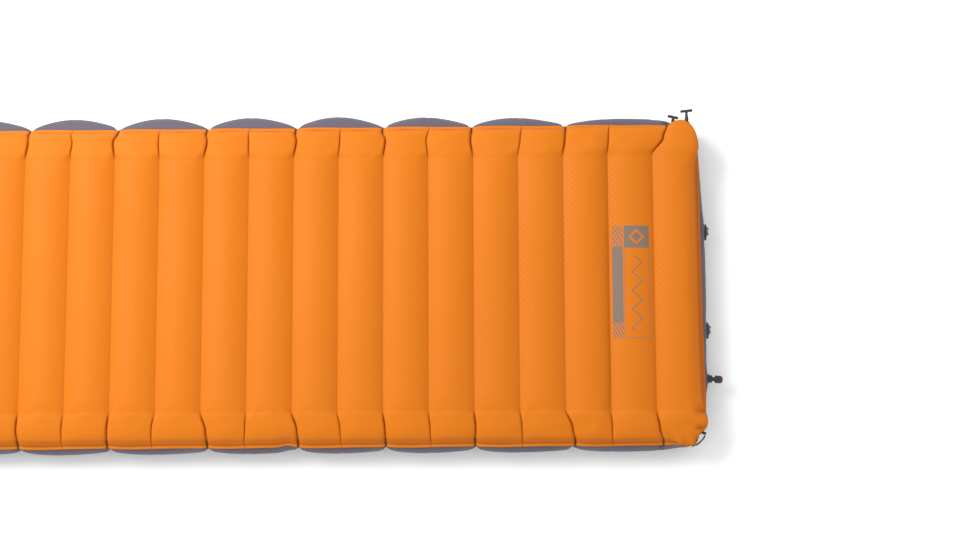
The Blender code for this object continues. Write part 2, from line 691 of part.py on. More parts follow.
def corner_loop():
    """The cord loop at the corner, and the two small tabs that hold its ends."""
    curve = bpy.data.curves.new("corner_loop", "CURVE")
    curve.dimensions = "3D"
    curve.bevel_depth = LOOP_RADIUS
    curve.bevel_resolution = 2
    curve.use_fill_caps = True
    spline = curve.splines.new("POLY")
    points = loop_points()
    start_point = Vector(points[0])
    spline.points.add(len(points) - 1)
    for point, place_at in zip(spline.points, points):
        point.co = (*(Vector(place_at) - start_point), 1)
    place(bpy.data.objects.new("corner_loop", curve), material("black_cord", BLACK, 0.8),
          Matrix.Translation(start_point))
    webbing = material("black_webbing", BLACK, 0.8)
    past_cord = LOOP_SPREAD + (TAB_SIZE[1] / 2 + LOOP_RADIUS + GAP) / LOOP_REACH
    for name, turn in (("loop_tab_end", past_cord), ("loop_tab_side", -past_cord)):
        made = bmesh.new()
        bmesh.ops.create_cube(made, size=1)
        bmesh.ops.scale(made, vec=Vector(TAB_SIZE), verts=made.verts)
        bmesh.ops.bevel(made, geom=made.edges[:], offset=0.5 * MM, segments=2,
                        affect="EDGES")
        mesh = bpy.data.meshes.new(name)
        made.to_mesh(mesh)
        made.free()
        middle, angle = round_loop_corner(turn)
        facing = Matrix.Rotation(angle, 4, "Z")
        mesh_object(name, mesh, webbing, Matrix.Translation((*middle, LOOP_Z)) @ facing)


top_panel()
bottom_panel()
inner_walls()
pump_pocket()
pump_foam()
pump_lid()
check_valve()
for valve, valve_y in (("intake", INTAKE_Y), ("dump", DUMP_Y)):
    flat_valve_flange(f"{valve}_valve_flange", valve_y)
    flat_valve_cap(f"{valve}_valve_cap", valve_y)
intake_flap()
mouth_valve()
for toggle_size, sizes in TOGGLES.items():
    toggle(toggle_size, **sizes)
corner_loop()
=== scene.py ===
"""Looks of the inflatable sleeping pad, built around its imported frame. Metres, +Z up."""
import json
import math

import bmesh
import bpy
import numpy as np
from mathutils import Matrix, Vector


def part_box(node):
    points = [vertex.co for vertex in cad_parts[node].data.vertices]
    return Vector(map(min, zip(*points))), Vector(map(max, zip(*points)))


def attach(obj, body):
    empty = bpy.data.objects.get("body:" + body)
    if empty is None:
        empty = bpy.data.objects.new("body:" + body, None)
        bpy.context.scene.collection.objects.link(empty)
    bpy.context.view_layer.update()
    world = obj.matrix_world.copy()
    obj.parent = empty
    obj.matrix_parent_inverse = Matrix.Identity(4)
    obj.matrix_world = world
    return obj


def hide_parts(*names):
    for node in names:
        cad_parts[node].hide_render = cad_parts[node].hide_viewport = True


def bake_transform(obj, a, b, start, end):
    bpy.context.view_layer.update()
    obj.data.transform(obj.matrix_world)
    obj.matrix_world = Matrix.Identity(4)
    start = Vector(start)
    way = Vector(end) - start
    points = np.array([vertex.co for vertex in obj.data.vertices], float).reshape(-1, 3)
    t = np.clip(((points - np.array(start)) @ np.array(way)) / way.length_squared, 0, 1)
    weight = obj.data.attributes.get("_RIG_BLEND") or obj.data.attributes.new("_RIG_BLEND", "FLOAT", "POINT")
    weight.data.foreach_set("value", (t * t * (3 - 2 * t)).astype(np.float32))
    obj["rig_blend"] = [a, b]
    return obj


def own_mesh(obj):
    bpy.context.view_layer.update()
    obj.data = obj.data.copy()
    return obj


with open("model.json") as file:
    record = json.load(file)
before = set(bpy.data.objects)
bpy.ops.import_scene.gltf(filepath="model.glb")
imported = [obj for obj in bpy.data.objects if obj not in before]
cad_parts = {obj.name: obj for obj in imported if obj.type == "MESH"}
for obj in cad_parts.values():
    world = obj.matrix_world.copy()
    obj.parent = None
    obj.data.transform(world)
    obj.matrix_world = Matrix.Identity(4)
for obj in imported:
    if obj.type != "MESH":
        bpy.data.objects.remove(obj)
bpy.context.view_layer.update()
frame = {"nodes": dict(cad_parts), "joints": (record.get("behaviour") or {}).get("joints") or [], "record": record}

MM = 0.001

# ---------------------------------------- sizes from the frame

NODES = frame["nodes"]
WALLS = sorted(name for name in NODES if name.startswith("inner_wall_"))
WALL_BOXES = [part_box(name) for name in WALLS]
WALL_LINES = np.array([(low.x + high.x) / 2 for low, high in WALL_BOXES])
WALL_COUNT = len(WALLS)
PITCH = (WALL_LINES[0] - WALL_LINES[-1]) / (WALL_COUNT - 1)
WALL_END = WALL_BOXES[0][1].y

TOP_LOW, TOP_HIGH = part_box("top_panel")
END_WALL_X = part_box("bottom_panel")[1].x
HALF_X = TOP_HIGH.x
HALF_Y = TOP_HIGH.y
FLANGE = HALF_X - (WALL_LINES[0] + PITCH)
WELD_X = HALF_X - FLANGE
WELD_Y = HALF_Y - FLANGE
SKIN = 0.8 * MM
WELD_Z = TOP_LOW.z + 1 * MM
CROWN = TOP_HIGH.z - WELD_Z
GROOVE = 13 * MM           # how deep a wall holds the top skin under the tubes' crowns
CORNER = 45 * MM           # radius of the pad's corners

# How the two skins' joined edge runs, the same for both
PINCH_DIP = 4.5 * MM       # how far a pinch pulls the weld down
FLANGE_DROOP = 0.8 * MM    # how far the flange's outer edge hangs
PUFF_DROOP = 0.5           # the share of a corner's puff that it hangs further there

# ---------------------------------------- how the sides stand

# The side weld is pinched in at every second wall, counted from the valve end.
PINCHED = np.array([number % 2 == 1 for number in range(1, WALL_COUNT + 1)])
# Where each crease ends at the side weld, in mm past its wall towards the valve end:
# at half way and at the weld, first on the +Y side and then on the -Y side. The far
# walls repeat the pattern of the near ones.
CREASE_DRIFT = (
    ((26, 36), (7, 15)), ((3, 5), (2, 3)), ((6, 8), (16, 22)), ((6, 9), (5, 6)),
    ((-5, -3), (4, 2)), ((-4, 1), (4, 5)), ((5, -3), (5, 6)), ((3, 3), (7, 8)),
    ((6, 2), (12, 14)), ((-1, -2), (-2, -4)), ((9, 16), (2, 9)),
)


def drift_of(number):
    """The crease drift of a wall, 0 for the first; both ends of the pad pinch alike."""
    near = min(number, WALL_COUNT - 1 - number)
    sign = 1 if number < len(CREASE_DRIFT) else -1
    return [[sign * value * MM for value in side] for side in CREASE_DRIFT[near]]


DRIFT = np.array([drift_of(number) for number in range(WALL_COUNT)])


def ease(t):
    """0 below 0, 1 above 1, and smooth between."""
    t = np.clip(t, 0, 1)
    return t * t * (3 - 2 * t)


def hump(value, middle, width):
    """1 at the middle, falling smoothly to 0 on both sides."""
    return np.exp(-((value - middle) / width) ** 2)


def roll(inside, reach, power):
    """Rises from 0 at the weld to 1 at reach inside it, steeply at first."""
    outside = np.clip(1 - inside / reach, 0, 1)
    return (1 - outside ** power) ** (1 / power)


def nearest_wall(x):
    """Each point's nearest inner wall, and its distance from that wall's line."""
    number = np.clip(np.round((WALL_LINES[0] - x) / PITCH), 0, WALL_COUNT - 1).astype(int)
    return number, np.abs(x - WALL_LINES[number])


def past_walls(y):
    """0 where the inner walls hold the skins, 1 at the side weld."""
    return np.clip((np.abs(y) - WALL_END) / (WELD_Y - WALL_END), 0, 1.15)


def follow_creases(x, y):
    """Moves lattice columns sideways beyond the walls' ends, as the creases run."""
    side = (y < 0).astype(int)
    past = np.clip(past_walls(y), 0, 1)
    position = np.clip((WALL_LINES[0] - x) / PITCH, 0, WALL_COUNT - 1)
    left = np.clip(np.floor(position), 0, WALL_COUNT - 2).astype(int)
    share = position - left
    ends = []
    for number in (left, left + 1):
        half_way, weld = DRIFT[number, side, 0], DRIFT[number, side, 1]
        early = ease(past / 0.6) * half_way
        late = ease((past - 0.6) / 0.4) * (weld - half_way)
        ends.append(early + late)
    moved = ends[0] * (1 - share) + ends[1] * share
    fade = np.clip((WELD_X - np.abs(x)) / (0.6 * PITCH), 0, 1)
    return x + moved * fade


def round_corners(x, y, half_x, half_y, radius):
    """Lays a rectangle's lattice out with round corners.

    Gives the point of the inner rectangle that each lattice point hangs from, its
    outward direction, and how far out it is, 0 on the inner rectangle to 1 at the edge.
    """
    a = np.clip((np.abs(x) - (half_x - radius)) / radius, 0, 1)
    b = np.clip((np.abs(y) - (half_y - radius)) / radius, 0, 1)
    u = a * np.sqrt(1 - b * b / 2)
    v = b * np.sqrt(1 - a * a / 2)
    out = np.hypot(u, v)
    safe = np.where(out > 0, out, 1)
    direction = np.stack([np.sign(x) * u / safe, np.sign(y) * v / safe], -1)
    root = np.stack([np.clip(x, radius - half_x, half_x - radius),
                     np.clip(y, radius - half_y, half_y - radius)], -1)
    return root, direction, out


def along_corner(x, y, direction):
    """Distance round the edge from a corner's diagonal, positive towards the side."""
    angle = np.arctan2(np.abs(direction[..., 1]), np.abs(direction[..., 0]))
    along_side = np.clip(HALF_X - CORNER - np.abs(x), 0, None)
    along_end = np.clip(HALF_Y - CORNER - np.abs(y), 0, None)
    arc = (angle - math.pi / 4) * CORNER
    return arc + np.where(arc > 0, along_side, -along_end)


def curve_through(at, knots, values):
    """A smooth curve through a few values, level beyond the first and the last."""
    knots, values = np.array(knots) * MM, np.array(values) * MM
    slopes = np.gradient(values, knots)
    slopes[0] = slopes[-1] = 0
    at = np.clip(at, knots[0], knots[-1])
    left = np.clip(np.searchsorted(knots, at) - 1, 0, len(knots) - 2)
    width = knots[left + 1] - knots[left]
    t = (at - knots[left]) / width
    level = values[left] * (1 - ease(t)) + values[left + 1] * ease(t)
    first, second = slopes[left], slopes[left + 1]
    return level + width * (first * (t ** 3 - 2 * t ** 2 + t) + second * (t ** 3 - t ** 2))


def pinch_lines(side):
    """Where the creases of the pinched walls reach the side weld, +Y first, then -Y."""
    return (WALL_LINES + DRIFT[:, side, 1])[PINCHED]


def pinch_at(x, y, width):
    """1 where a pinched wall's crease meets the side weld, falling off on both sides."""
    fall = []
    for side in (0, 1):
        distance = np.min(np.abs(x[..., None] - pinch_lines(side)), -1)
        fall.append(np.exp(-distance / width))
    return np.where(y > 0, fall[0], fall[1])


# The edge round the two corners of the valve end: the distance from the corner's
# diagonal, from the end (-) to the side (+), how far the weld is pulled out or in there,
# and how far the top skin stands out over it, all in mm.
TOGGLE_CORNER = ((-351, -1.6, 0), (-231, -2.3, 0), (-150, -2.8, 0), (-95, -2.5, 0),
                 (-77, -3, 4), (-54, -4, 12), (-19, -8, 13.5), (9, -6, 17), (34, -2, 18),
                 (50, -2, 14), (63, -3.5, 5), (84, -3, 1), (105, 0, 0))
LOOP_CORNER = ((-351, -1.6, 0), (-241, -0.8, 0), (-150, 1, 0), (-90, 2, 2), (-50, 1, 15),
               (-35, -1, 17), (-22, -5, 16), (-9, -8, 12), (0, -7.5, 14), (12, -5, 19.5),
               (27, -1, 17), (45, -1.2, 14), (60, -1.5, 5), (85, 0, 0))
FAR_CORNER = ((-130, 0, 0), (-80, 0, 4), (-35, -1, 13), (0, -4, 12), (35, -1, 13), (85, 0, 0))


def round_the_corner(x, y, direction, column):
    """Reads the corner tables: column 1 for the weld, column 2 for the top skin."""
    around = along_corner(x, y, direction)
    read = []
    for table in (TOGGLE_CORNER, LOOP_CORNER, FAR_CORNER):
        knots = [row[0] for row in table]
        read.append(curve_through(around, knots, [row[column] for row in table]))
    return np.where(x < 0, read[2], np.where(y > 0, read[0], read[1]))


def inside_corner(x):
    """1 along the sides, 0 at the last crease of each end, which doesn't pinch."""
    return ease((WALL_LINES[0] + 20 * MM - np.abs(x)) / (20 * MM))


def edge_shift(x, y, direction):
    """How far the side or end weld stands out from its plain outline."""
    side_on = np.abs(direction[..., 1])
    skew = np.where(y > 0, 2.4 * x - 4, 0.8) * MM
    pull = np.where(y > 0, 1.5, 2.5) * MM * pinch_at(x, y, 10 * MM)
    dent = 5 * MM * hump(x, WALL_LINES[8] - 10 * MM, 16 * MM) * (y < 0)
    uneven = 0.8 * MM * np.sin(x * 31 + y * 9)
    along_side = ((skew - pull) * inside_corner(x) + uneven - dent) * side_on
    return round_the_corner(x, y, direction, 1) + along_side


def corner_puff(x, y, direction):
    """How far the top skin swells out over the weld at the corners."""
    return round_the_corner(x, y, direction, 2) * (np.abs(direction).sum(-1) > 0)


def pinch_dip(x, y, direction):
    """How far the weld is pulled down at the pinches along the sides."""
    return PINCH_DIP * pinch_at(x, y, 8 * MM) * inside_corner(x) * np.abs(direction[..., 1])


def droop(on_flange, puff):
    """How far the flange hangs, from 0 at the weld to its full droop at the edge."""
    return FLANGE_DROOP * on_flange + PUFF_DROOP * puff * on_flange ** 2


# Short folds that run inwards from the edge at the loop's corner: the distance from the
# corner's diagonal, the fold's length and its half width, in mm
FOLD_DEPTH = 7 * MM
CORNER_FOLDS = ((-62, 38, 6), (-21, 44, 6), (16, 34, 5.5), (47, 34, 6))


def corner_folds(x, y):
    """1 along the bottom of the short folds at the loop's corner."""
    _, direction, out = round_corners(x, y, HALF_X, HALF_Y, CORNER)
    around = along_corner(x, y, direction)
    depth = 0
    for at, length, half_width in CORNER_FOLDS:
        run = ease((out - 1 + length * MM / CORNER) / 0.4)
        depth = np.maximum(depth, run * hump(around, at * MM, half_width * MM))
    return depth * (x > 0) * (y < 0)


def top_point(x, y):
    """The top skin over each point of its flat lattice, before the air is let in."""
    inside_x = WELD_X - np.abs(x)
    inside_y = WELD_Y - np.abs(y)
    past = past_walls(y)
    number, from_wall = nearest_wall(x)
    arc = np.clip(1 - from_wall / (PITCH / 2), 0, 1)
    broad = GROOVE * arc ** 2 * (1 - 0.62 * ease(past / 0.3))
    pinched = PINCHED[number]
    deep = np.where(pinched, 7, 4) * MM
    width = np.where(pinched, 1.7, 1.2) * MM * (1 + pinched * ease((past - 0.7) / 0.3))
    crease = deep * ease(past / 0.3) * np.exp(-(from_wall / width) ** 1.2)
    free = 2.2 * MM * ease(past / 0.10) * (1 - arc ** 2)
    low_side = 2.5 - 0.5 * ease((np.abs(x) - WALL_LINES[0] + 20 * MM) / (40 * MM))
    rise = roll(inside_x, 50 * MM, 3.2)
    rise = rise * np.where(y > 0, roll(inside_y, WELD_Y - WALL_END, 4),
                           roll(inside_y, WELD_Y - WALL_END, low_side))
    height = rise * (CROWN - broad - crease + free)
    height = height - FOLD_DEPTH * corner_folds(x, y) * ease(3 * rise)

    placed_x = follow_creases(x, y)
    root, direction, out = round_corners(placed_x, y, HALF_X, HALF_Y, CORNER)
    shift = edge_shift(placed_x, y, direction) * ease(out)
    from_weld = CORNER - FLANGE - out * CORNER
    puff = corner_puff(placed_x, y, direction)
    overhang = puff * ease((from_weld + 0.5 * MM) / (5 * MM)) * ease(out * 1.6)
    reach = out * CORNER + shift + overhang
    on_flange = np.clip(-from_weld / FLANGE, 0, 1)
    hang = droop(on_flange, puff) + pinch_dip(placed_x, y, direction) * ease(out * 1.1 - 0.1)
    flat = root + direction * reach[..., None]
    return np.stack([flat[..., 0], flat[..., 1], WELD_Z + height - hang], -1)


# ---------------------------------------- lattices

# Lattice rows of the top skin, in mm inside the side weld
FROM_SIDE = (0.4, 1, 2, 3.3, 5, 7, 9.5, 12.5, 16, 20, 25, 31, 38, 46, 54, 61, 66, 70)


def spaced(half, weld, step):
    """Distances across the pad: close together at the weld, step apart inside."""
    near = [half, half - 3 * MM, half - 6 * MM, weld + 0.4 * MM, weld]
    near += [weld - d * MM for d in FROM_SIDE]
    count = max(1, round(near[-1] / step))
    inner = [near[-1] * i / count for i in range(count)]
    positive = sorted(inner + near)
    return np.array([-v for v in reversed(positive) if v > 0] + positive)


# Lattice columns of the top skin, in mm from each groove and from the end weld
FROM_GROOVE = (0, 0.6, 1.3, 2.3, 3.8, 6, 9, 13, 18, 24, 31, 38.5, 46)
FROM_END = (0, 0.4, 1, 2, 3.3, 5, 7, 9.5, 12.5, 16, 20, 25, 31, 37.5, 44)


def tube_columns():
    """Lattice columns along the pad, closer together at the grooves."""
    columns = []
    for line in WALL_LINES:
        columns += [line + side * d * MM for d in FROM_GROOVE for side in (-1, 1)]
    ends = [WELD_X - d * MM for d in FROM_END]
    ends += [WELD_X + 0.4 * MM, WELD_X + 2 * MM, WELD_X + 5 * MM, HALF_X]
    return np.array(sorted(set(np.round(columns + ends + [-x for x in ends], 6))))


def even(half, step):
    """Evenly spaced values from -half to half, at most step apart."""
    count = math.ceil(2 * half / step)
    return np.linspace(-half, half, count + 1)


def linked(name, data):
    """A new object in the scene."""
    made = bpy.data.objects.new(name, data)
    bpy.context.scene.collection.objects.link(made)
    return made


def lattice_mesh(name, points, outward_up=True):
    """A mesh of quads over a grid of points."""
    rows, columns = points.shape[:2]
    index = np.arange(rows * columns).reshape(rows, columns)
    corners = np.stack([index[:-1, :-1], index[:-1, 1:], index[1:, 1:], index[1:, :-1]], -1)
    faces = corners.reshape(-1, 4)
    if not outward_up:
        faces = faces[:, ::-1]
    mesh = bpy.data.meshes.new(name)
    mesh.from_pydata(points.reshape(-1, 3).tolist(), [], faces.tolist())
    mesh.shade_smooth()
    return mesh


def let_air_in(name, points, held, slack, outward_up=True, force=3.0, frames=16):
    """Blows up a slack sheet between its welds with a cloth simulation.

    held and slack are shares, 0 to 1, per lattice point. Gives the points' moves.
    """
    mesh = lattice_mesh(name, points, outward_up)
    sheet = linked(name, mesh)
    for group, weights in (("held", held), ("slack", slack)):
        made = sheet.vertex_groups.new(name=group)
        for index, weight in enumerate(weights.reshape(-1)):
            if weight > 0:
                made.add([index], float(weight), "REPLACE")
    cloth = sheet.modifiers.new("air", "CLOTH")
    settings = cloth.settings
    settings.quality = 4
    settings.mass = 0.2
    settings.tension_stiffness = 40
    settings.compression_stiffness = 20
    settings.shear_stiffness = 10
    settings.bending_stiffness = 0.15
    settings.air_damping = 2
    settings.vertex_group_mass = "held"
    settings.vertex_group_shrink = "slack"
    settings.shrink_min = 0.0
    settings.shrink_max = -0.05
    settings.use_pressure = True
    settings.uniform_pressure_force = force
    settings.effector_weights.gravity = 0
    scene = bpy.context.scene
    cloth.point_cache.frame_start = 1
    cloth.point_cache.frame_end = frames
    for number in range(1, frames + 1):
        scene.frame_set(number)
    blown = sheet.evaluated_get(bpy.context.evaluated_depsgraph_get()).to_mesh()
    moved = np.zeros(len(blown.vertices) * 3)
    blown.vertices.foreach_get("co", moved)
    moves = moved.reshape(points.shape) - points
    bpy.data.objects.remove(sheet)
    scene.frame_set(1)
    return moves


def soft_cap(moves, most):
    """Keeps each move under a limit, smoothly."""
    length = np.linalg.norm(moves, axis=-1, keepdims=True)
    safe = np.where(length > 0, length, 1)
    return moves / safe * most * np.tanh(length / most)


def sample(moves, columns, rows, x, y):
    """Reads moves, given on a coarse lattice, at the points of a fine one."""
    def places(values, at):
        left = np.clip(np.searchsorted(values, at) - 1, 0, len(values) - 2)
        share = (at - values[left]) / (values[left + 1] - values[left])
        return left, share[..., None]
    i, across = places(columns, x)
    j, up = places(rows, y)
    low = moves[j, i] * (1 - across) + moves[j, i + 1] * across
    high = moves[j + 1, i] * (1 - across) + moves[j + 1, i + 1] * across
    return low * (1 - up) + high * up


def top_moves():
    """The top skin's swelling and wrinkles, on a coarse lattice."""
    columns = np.array(sorted(set(np.round(even(WELD_X, PITCH / 12), 6)) | {-HALF_X, HALF_X}))
    rows = even(HALF_Y, 8 * MM)
    x, y = np.meshgrid(columns, rows)
    points = top_point(x, y)
    _, from_wall = nearest_wall(x)
    on_wall = (from_wall < 1 * MM) & (np.abs(y) < WALL_END + 4 * MM)
    on_edge = (np.abs(x) > WELD_X - 2 * MM) | (np.abs(y) > WELD_Y - 1 * MM)
    held = (on_wall | on_edge).astype(float)
    slack = 0.15 + 0.85 * ease((past_walls(y) - 0.05) / 0.5)
    slack = np.maximum(slack, ease((np.abs(x) - (WELD_X - 0.6 * PITCH)) / (0.4 * PITCH)))
    moves = let_air_in("top_sheet", points, held, slack)
    return moves, columns, rows


# ---------------------------------------- node materials

class Field:
    """A number that varies over a surface, as a socket in a material's nodes."""

    def __init__(self, tree, socket):
        self.tree = tree
        self.socket = socket

    def math(self, operation, *others, clamp=False):
        node = self.tree.nodes.new("ShaderNodeMath")
        node.operation = operation
        node.use_clamp = clamp
        for entry, value in zip(node.inputs, (self, *others)):
            if isinstance(value, Field):
                self.tree.links.new(value.socket, entry)
            else:
                entry.default_value = value
        return Field(self.tree, node.outputs[0])

    def __add__(self, other):
        return self.math("ADD", other)

    def __sub__(self, other):
        return self.math("SUBTRACT", other)

    def __mul__(self, other):
        return self.math("MULTIPLY", other)

    def __truediv__(self, other):
        return self.math("DIVIDE", other)

    def abs(self):
        return self.math("ABSOLUTE")

    def fract(self):
        return self.math("FRACT")

    def sine(self):
        return self.math("SINE")

    def above(self, edge, soft):
        """1 where the value is over edge, 0 where it is under, soft wide between."""
        return self.math("SUBTRACT", edge - soft / 2).math("DIVIDE", soft, clamp=True)

    def below(self, edge, soft):
        return self.above(edge, soft).flip()

    def flip(self):
        return (self * -1) + 1

    def within(self, low, high, soft):
        return self.above(low, soft) * self.below(high, soft)

    def either(self, other):
        return self.math("MAXIMUM", other)


class Look:
    """A material whose colour, roughness and relief come from nodes."""

    def __init__(self, name, specular):
        self.material = bpy.data.materials.new(name)
        self.material.use_nodes = True
        self.tree = self.material.node_tree
        self.shader = self.tree.nodes["Principled BSDF"]
        self.shader.inputs["Specular IOR Level"].default_value = specular
        self.place = self.tree.nodes.new("ShaderNodeTexCoord").outputs["Object"]

    def axes(self):
        """X, Y and Z on the piece, in metres."""
        split = self.tree.nodes.new("ShaderNodeSeparateXYZ")
        self.tree.links.new(self.place, split.inputs[0])
        return [Field(self.tree, output) for output in split.outputs]

    def noise(self, scale, detail):
        node = self.tree.nodes.new("ShaderNodeTexNoise")
        node.inputs["Scale"].default_value = scale
        node.inputs["Detail"].default_value = detail
        self.tree.links.new(self.place, node.inputs["Vector"])
        return Field(self.tree, node.outputs[0])

    def attribute(self, name):
        """A value that the mesh stores per point."""
        node = self.tree.nodes.new("ShaderNodeAttribute")
        node.attribute_name = name
        return Field(self.tree, node.outputs["Fac"])

    def mix(self, share, first, second):
        """A colour socket between two colours, each a tuple or a socket."""
        node = self.tree.nodes.new("ShaderNodeMix")
        node.data_type = "RGBA"
        self.tree.links.new(share.socket, node.inputs["Factor"])
        for entry, color in (("A", first), ("B", second)):
            socket = [s for s in node.inputs if s.name == entry and s.type == "RGBA"][0]
            if isinstance(color, tuple):
                socket.default_value = (*color, 1)
            else:
                self.tree.links.new(color, socket)
        return [s for s in node.outputs if s.type == "RGBA"][0]

    def finish(self, color, relief, depth, rough):
        """Joins a colour, a relief of the given depth and a roughness to the shader."""
        bump = self.tree.nodes.new("ShaderNodeBump")
        bump.inputs["Distance"].default_value = depth
        self.tree.links.new(relief.socket, bump.inputs["Height"])
        self.tree.links.new(bump.outputs["Normal"], self.shader.inputs["Normal"])
        self.tree.links.new(color, self.shader.inputs["Base Color"])
        self.tree.links.new(rough.socket, self.shader.inputs["Roughness"])
        return self.material


def weave(look, pitch):
    """Threads over and under in both directions, 0 to 1."""
    x, y, z = look.axes()
    turn = 2 * math.pi / pitch
    return ((x + z) * turn).sine() * ((y + z) * turn).sine() * 0.5 + 0.5


def dot_lattice(x, y, spacing, radius, soft):
    """Rows of dots half as far apart as the dots in a row, every second row between."""
    found = None
    for offset in (0.0, 0.5):
        across = ((x / spacing + offset).fract() - 0.5) * spacing
        along = ((y / spacing + offset).fract() - 0.5) * spacing
        distance = (across * across + along * along).math("SQRT")
        dots = distance.below(radius, soft)
        found = dots if found is None else found.either(dots)
    return found


def print_mask(x, y):
    """The ink of a plain generic print on the second tube: bar, square and frame."""
    sharp = 0.5 * MM
    line = 1.3 * MM
    right = WALL_LINES[0] - 11 * MM
    box_left = right - 56 * MM
    bar_right = box_left - 2.5 * MM
    left = bar_right - 23.5 * MM
    top = 124 * MM
    bottom = -126.5 * MM
    box_low = top - 50 * MM

    def area(left_edge, right_edge, low, high):
        return x.within(left_edge, right_edge, sharp) * y.within(low, high, sharp)

    slant = ((x + y * 0.55) / (7 * MM)).fract().above(0.5, 0.08)
    hatched = y.above(77 * MM, sharp).either(y.below(-92 * MM, sharp))
    bar = area(left, bar_right, bottom, top) * (hatched * slant).flip()
    middle_x = (box_left + right) / 2
    middle_y = (box_low + top) / 2
    diamond = (x - middle_x).abs() + (y - middle_y).abs()
    ring = diamond.within(12 * MM, 18 * MM, sharp)
    square = area(box_left, right, box_low, top) * ring.flip()
    inner = area(box_left + line, right - line, bottom + line, box_low)
    outline = area(box_left, right, bottom, box_low) * inner.flip()
    zigzag = ((y / (42 * MM)).fract() - 0.5).abs() * 44 * MM
    ridge = (x - (middle_x - 11 * MM) - zigzag).abs().below(1.8 * MM, sharp)
    ridge = ridge * y.within(bottom + 16 * MM, box_low - 16 * MM, sharp)
    return bar.either(square).either(outline).either(ridge)


def orange_fabric():
    """The top skin's ripstop: dots on the tubes and a print, with painted shade along the grooves, creases and
    welds and a band of painted light beyond the walls' ends.
    """
    look = Look("orange_fabric", 0.12)
    x, y, _ = look.axes()
    broad = look.noise(3.0, 2)
    fine = look.noise(900, 2)
    held = y.abs().below(WALL_END - 4 * MM, 3 * MM) * x.abs().below(WELD_X - 18 * MM, 3 * MM)
    dots = dot_lattice(x, y, 12 * MM, 2.3 * MM, 1.2 * MM) * held
    color = look.mix(broad.above(0.5, 0.5), (0.53, 0.139, 0.005), (0.515, 0.132, 0.0045))
    # Painted light: the skin beyond the walls' ends, which lies flatter there, is made lighter as if it caught
    # more light
    outside = y.abs().above(WALL_END, 4 * MM)
    color = look.mix(outside * 0.35, color, (0.56, 0.153, 0.007))
    color = look.mix(look.attribute("flange") * 0.4, color, (0.60, 0.17, 0.010))
    color = look.mix(dots * 0.11, color, (0.64, 0.216, 0.028))
    color = look.mix(print_mask(x, y) * 0.94, color, (0.15, 0.13, 0.11))
    # Painted shade in the grooves, creases and corner folds and along the welds
    color = look.mix(look.attribute("crease"), color, (0.30, 0.062, 0.003))
    # Near-black painted shadow in the last stretch of the pinched creases
    color = look.mix(look.attribute("fold"), color, (0.024, 0.010, 0.006))
    relief = dots * 0.45 + weave(look, 1.1 * MM) * 0.22 + fine * 0.15
    rough = dots * -0.10 + broad * 0.12 + 0.52
    return look.finish(color, relief, 0.10 * MM, rough)


def grey_fabric():
    """The bottom skin's plain weave, with pale seams and painted shade in its creases, along its grooves and under
    its flange.
    """
    look = Look("grey_fabric", 0.3)
    broad = look.noise(5.0, 3)
    fine = look.noise(1100, 2)
    color = look.mix(broad.above(0.5, 0.5), (0.099, 0.083, 0.114), (0.088, 0.075, 0.099))
    color = look.mix(look.attribute("seam") * 0.6, color, (0.20, 0.185, 0.21))
    # Painted shade in the creases, along the grooves and under the flange
    color = look.mix(look.attribute("crease") * 0.85, color, (0.022, 0.018, 0.02))
    relief = weave(look, 1.3 * MM) * 0.5 + fine * 0.4
    return look.finish(color, relief, 0.10 * MM, broad * 0.15 + 0.55)


def plain_look(name, first, second, roughness, scale, depth, specular=0.5, grain=900):
    """Moulded plastic, rubber, film or foam: two tones, a fine grain and its relief."""
    look = Look(name, specular)
    tone = look.noise(scale, 3)
    fine = look.noise(grain, 2)
    color = look.mix(tone.above(0.5, 0.4), first, second)
    return look.finish(color, fine, depth * MM, tone * 0.18 + (roughness - 0.09))


def cord_look():
    """A braided cord: slanted strands both ways."""
    look = Look("black_cord", 0.35)
    x, y, z = look.axes()
    one = ((x - y + z * 1.4) / (1.1 * MM)).sine()
    two = ((x - y - z * 1.4) / (1.1 * MM)).sine()
    strands = one.either(two) * 0.5 + 0.5
    color = look.mix(strands, (0.012, 0.012, 0.014), (0.045, 0.045, 0.05))
    return look.finish(color, strands, 0.15 * MM, strands * -0.1 + 0.75)


# Two tones, roughness, how fine the tones are, the grain's relief in mm, and, where they
# aren't the usual ones, the specular level and how fine the grain is
PLAIN_LOOKS = {
    "wall_fabric": ((0.6, 0.6, 0.58), (0.52, 0.52, 0.5), 0.6, 30, 0.05),
    "pocket_film": ((0.62, 0.63, 0.62), (0.55, 0.55, 0.54), 0.35, 20, 0.04),
    "open_cell_foam": ((0.78, 0.7, 0.44), (0.66, 0.57, 0.32), 0.9, 300, 0.6, 0.2, 700),
    "silicone": ((0.7, 0.7, 0.68), (0.62, 0.62, 0.6), 0.38, 60, 0.03),
    "charcoal_plastic": ((0.04, 0.038, 0.046), (0.028, 0.027, 0.034), 0.42, 120, 0.04),
    "black_plastic": ((0.018, 0.018, 0.021), (0.012, 0.012, 0.014), 0.36, 120, 0.03),
    "black_rubber": ((0.022, 0.022, 0.024), (0.014, 0.014, 0.016), 0.55, 150, 0.05),
    "black_webbing": ((0.03, 0.029, 0.032), (0.018, 0.018, 0.02), 0.7, 400, 0.12, 0.5, 1500),
    "dark_red_rubber": ((0.26, 0.016, 0.03), (0.19, 0.011, 0.022), 0.45, 150, 0.04),
}
LOOKS = {name: plain_look(name, *values) for name, values in PLAIN_LOOKS.items()}
LOOKS["orange_fabric"] = orange_fabric()
LOOKS["grey_fabric"] = grey_fabric()
LOOKS["black_cord"] = cord_look()


# ---------------------------------------- the two skins

def add_piece(name, mesh, slot, look=None):
    """A piece in a slot of the record, with the look of that name or another one."""
    piece = linked(name, mesh)
    mesh.materials.clear()
    mesh.materials.append(LOOKS[look or slot])
    return piece


